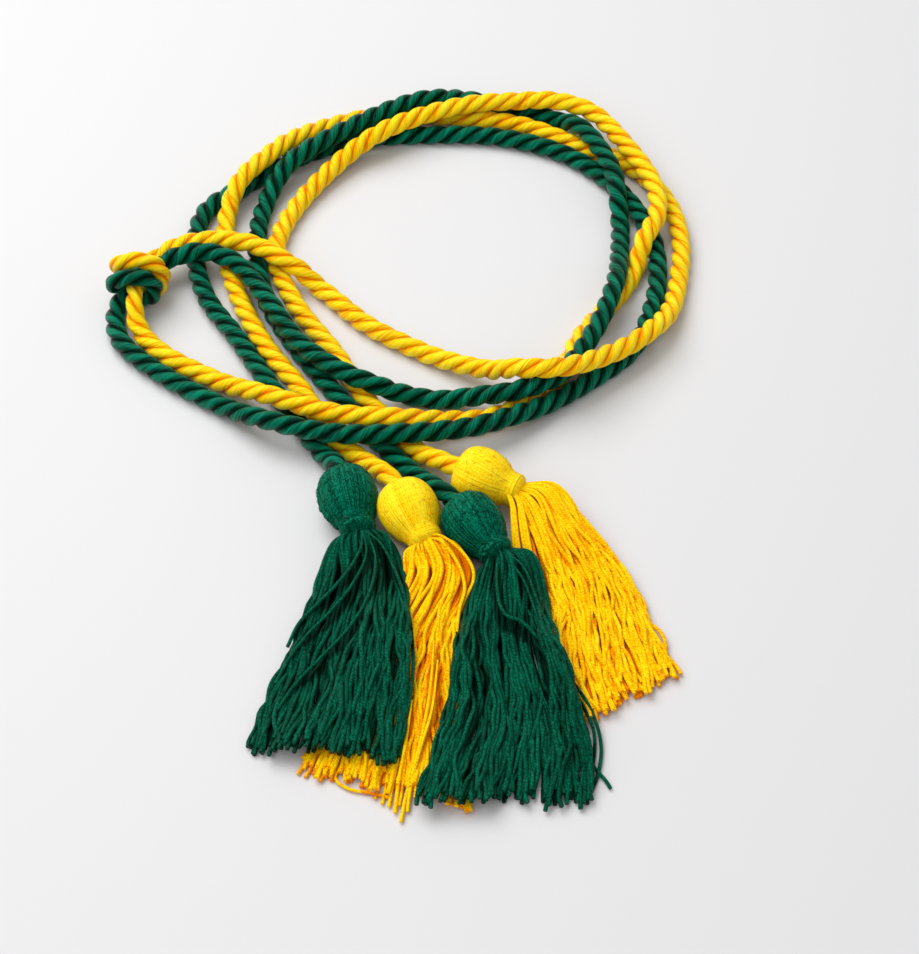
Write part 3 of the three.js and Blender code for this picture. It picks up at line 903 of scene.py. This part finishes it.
def shaded(piece, shades, sunk_shade):
    """Stores each point's shade, with painted shade: darker, by the given amount, where it lies deep
    between the yarns above it.
    """
    mesh = piece.data
    at = points_of(mesh)
    cell = np.floor(at[:, :2] / SHADE_CELL).astype(int)
    cell -= cell.min(axis=0) - 1
    top = np.full(tuple(cell.max(axis=0) + 2), -1.0)
    np.maximum.at(top, (cell[:, 0], cell[:, 1]), at[:, 2])
    near = [top[cell[:, 0] + i, cell[:, 1] + j] for i in (-1, 0, 1) for j in (-1, 0, 1)]
    deep = np.clip((np.maximum.reduce(near) - at[:, 2] - DEEP_FROM) / DEEP_RANGE, 0, 1)
    store = mesh.attributes.get("shade") or mesh.attributes.new("shade", "FLOAT", "POINT")
    store.data.foreach_set("value", shades - sunk_shade * deep)
    return piece


def make_skirt(name, tassel, colour, seed):
    lines, radii, shades = yarn_lines(tassel, random.Random(seed))
    yarn = FINISHES[colour]["yarn"]
    return yarns(f"{name}_fringe", lines, radii, shades, YARN, YARN_SIDES, yarn, SUNK_SHADE[colour])


def along_axis(tassel):
    """The place of a head: its length along +Z turned to run from the cord's end to the neck."""
    end = Vector(tassel["end"]) * MM
    neck = Vector(tassel["neck"]) * MM
    turn = Vector((0, 0, 1)).rotation_difference(neck - end).to_matrix().to_4x4()
    return Matrix.Translation(end) @ turn, (neck - end).length


def settle(piece, place, seed=None):
    """Puts a tassel's piece in its place, a little out of true, and none of it below the surface."""
    mesh = piece.data
    at = points_of(mesh)
    if seed is not None:
        turn = np.arctan2(at[:, 1], at[:, 0])
        swell = 0.012 * np.sin(2 * turn + seed + 90 * at[:, 2])
        swell += 0.01 * np.sin(5 * turn + 2 * seed + 300 * at[:, 2])
        at[:, :2] *= (1 + swell)[:, None]
    turned = np.array(place.to_3x3())
    at = at @ turned.T + np.array(place.translation)
    at[:, 2] = np.maximum(at[:, 2], LOWEST)
    mesh.vertices.foreach_set("co", at.ravel())
    mesh.update()


def loose_fibres(name, line, colour, seed):
    """Short fibres that stand a little off a head, each a low arch over its threads."""
    rng = random.Random(seed)
    hairs = []
    for _ in range(HAIRS[colour]):
        share = rng.uniform(0.06, 0.94)
        k = int(share * (len(line) - 1))
        turn, lean, rise = rng.uniform(0, math.tau), rng.uniform(-0.35, 0.35), rng.uniform(0.05, 0.65)
        hair = []
        for j in range(HAIR_POINTS):
            at = line[min(k + j // 2, len(line) - 1)]
            out = at[0] + (0.12 + rise * math.sin(math.pi * j / 3)) * MM
            a = turn + lean * j / 3
            hair.append((out * math.cos(a), out * math.sin(a), at[2] + 0.5 * MM * (j % 2)))
        hairs.append(np.array(hair))
    radii = [np.ones(HAIR_POINTS)] * len(hairs)
    shades = [rng.uniform(*HAIR_SHADES[colour]) for _ in hairs]
    thread = FINISHES[colour]["thread"]
    return yarns(f"{name}_fuzz", hairs, radii, shades, HAIR_RADIUS, HAIR_SIDES, thread)


def make_head(name, tassel, colour, seed):
    """A head's threads, its core and its loose fibres. Below the neck they run into the fringe."""
    place, reach = along_axis(tassel)
    length = reach - NECK_LENGTH
    outline = [(share * HEAD_RADIUS, 0.0, along * length) for along, share in HEAD_OUTLINE]
    outline.append((NECK_RADIUS * 0.95, 0.0, reach + 0.3 * MM))
    outline.append((NECK_RADIUS * 0.5, 0.0, reach + 1.6 * MM))
    line = evenly(smooth_line(outline, per_part=6), HEAD_STEP)
    threads = grow(
        f"{name}_head",
        open_curve(f"{name}_head_path", [line]),
        HEAD_THREADING,
        {
            "Threads": HEAD_THREADS,
            "Fullness": FULLNESS[colour],
            "Slant": HEAD_SLANT,
            "Sides": THREAD_SIDES,
            "Seed": seed,
            "Material": FINISHES[colour]["thread"],
        },
    )
    fuzz = loose_fibres(name, line, colour, seed)
    core = turned_core(f"{name}_core", [(x - CORE_SUNK, z) for x, _, z in line], CORE_SIDES)
    core.data.materials.append(FINISHES[colour]["thread"])
    for piece in (threads, core, fuzz):
        settle(piece, place, seed)
    return threads, core, fuzz


def turned_core(name, rings, sides):
    """A closed turned form under the threads, from each ring's radius and height."""
    verts, faces = [], []
    for x, z in rings:
        for k in range(sides):
            a = math.tau * k / sides
            verts.append((x * math.cos(a), x * math.sin(a), z))
    for r in range(len(rings) - 1):
        for k in range(sides):
            a, b = r * sides + k, r * sides + (k + 1) % sides
            faces.append((a, b, b + sides, a + sides))
    verts.append((0, 0, rings[0][1]))
    verts.append((0, 0, rings[-1][1]))
    top, bottom = len(verts) - 2, len(verts) - 1
    last = (len(rings) - 1) * sides
    for k in range(sides):
        faces.append(((k + 1) % sides, k, top))
        faces.append((last + k, last + (k + 1) % sides, bottom))
    mesh = bpy.data.meshes.new(name)
    mesh.from_pydata(verts, [], faces)
    mesh.update()
    for polygon in mesh.polygons:
        polygon.use_smooth = True
    return put(name, mesh)


def make_binding(name, tassel, colour, seed):
    """Turns of thread wound tight round the neck, with a small knot on those tied off in front."""
    place, reach = along_axis(tassel)
    count = BINDING_TURNS * BINDING_STEPS
    points = []
    for k in range(count + 1):
        a = math.tau * k / BINDING_STEPS
        r = NECK_RADIUS + THREAD * 0.5 + BINDING_WOBBLE * math.sin(a * 0.37 + seed)
        z = reach - NECK_LENGTH + THREAD + (NECK_LENGTH - 2 * THREAD) * k / count
        points.append((r * math.cos(a), r * math.sin(a), z))
    lines = [np.array(points)]
    if tassel["knot"] is not None:
        facing = place.to_3x3().inverted() @ Vector(tassel["knot"])
        out = Vector((facing.x, facing.y, 0)).normalized()
        middle = out * (NECK_RADIUS + 0.7 * MM) + Vector((0, 0, reach - NECK_LENGTH * 0.45))
        side = out.cross(Vector((0, 0, 1)))
        knot = []
        for k in range(TIE_STEPS + 1):
            a = math.tau * k / TIE_STEPS
            flat = (math.sin(a) + 2 * math.sin(2 * a), math.cos(a) - 2 * math.cos(2 * a))
            at = middle + side * (0.85 * MM * flat[0]) + Vector((0, 0, 0.6 * MM * flat[1]))
            knot.append(at - out * (0.5 * MM * math.sin(3 * a)))
        lines.append(np.array(knot))
    radii = [np.full(len(line), thickness) for line, thickness in zip(lines, (1.0, TIE_THICKER))]
    shades = [0.5] * len(lines)
    thread = FINISHES[colour]["thread"]
    piece = yarns(f"{name}_binding", lines, radii, shades, THREAD, BINDING_SIDES, thread)
    settle(piece, place)
    return piece


for number, (name, tassel) in enumerate(TASSELS.items()):
    colour = name.split("_")[0]
    skirt = make_skirt(name, tassel, colour, FRINGE_SEED + number)
    for piece in (skirt, *make_head(name, tassel, colour, HEAD_SEED + number)):
        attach(piece, "root")
        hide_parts(f"tassel_{name}")
    wound = make_binding(name, tassel, colour, BINDING_SEED + number)
    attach(wound, "root")
    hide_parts(f"binding_{name}")

# Floor and light
FLOOR_COLOUR = (0.655, 0.65, 0.655, 1.0)
FLOOR_REACH = 4
SKY_STRENGTH = 0.52


def pale_floor():
    far = FLOOR_REACH
    mesh = bpy.data.meshes.new("floor")
    mesh.from_pydata([(-far, -far, 0), (far, -far, 0), (far, far, 0), (-far, far, 0)], [], [(0, 1, 2, 3)])
    floor = put("floor", mesh)
    material, t = blank_material("pale_floor")
    surface = t.add("ShaderNodeBsdfPrincipled", {}, {"Base Color": FLOOR_COLOUR, "Roughness": 0.7})
    t.add("ShaderNodeOutputMaterial", {}, {"Surface": surface})
    mesh.materials.append(material)


def soft_light(name, place, size, power):
    """A square lamp that shines at the middle of the part."""
    data = bpy.data.lights.new(name, "AREA")
    data.energy = power
    data.size = size
    light = put(name, data)
    light.location = place
    light.rotation_euler = (-Vector(place)).to_track_quat("-Z", "Y").to_euler()


pale_floor()
soft_light("key_light", (-0.5, 0.45, 1.05), size=1.1, power=15.2)
soft_light("front_fill", (-0.5, -0.9, 1.2), size=1.4, power=6.0)
world = bpy.data.worlds.new("studio")
world.use_nodes = True
background = world.node_tree.nodes["Background"]
background.inputs["Color"].default_value = (1.0, 1.0, 1.0, 1.0)
background.inputs["Strength"].default_value = SKY_STRENGTH
bpy.context.scene.world = world
bpy.context.scene.view_settings.view_transform = "Standard"
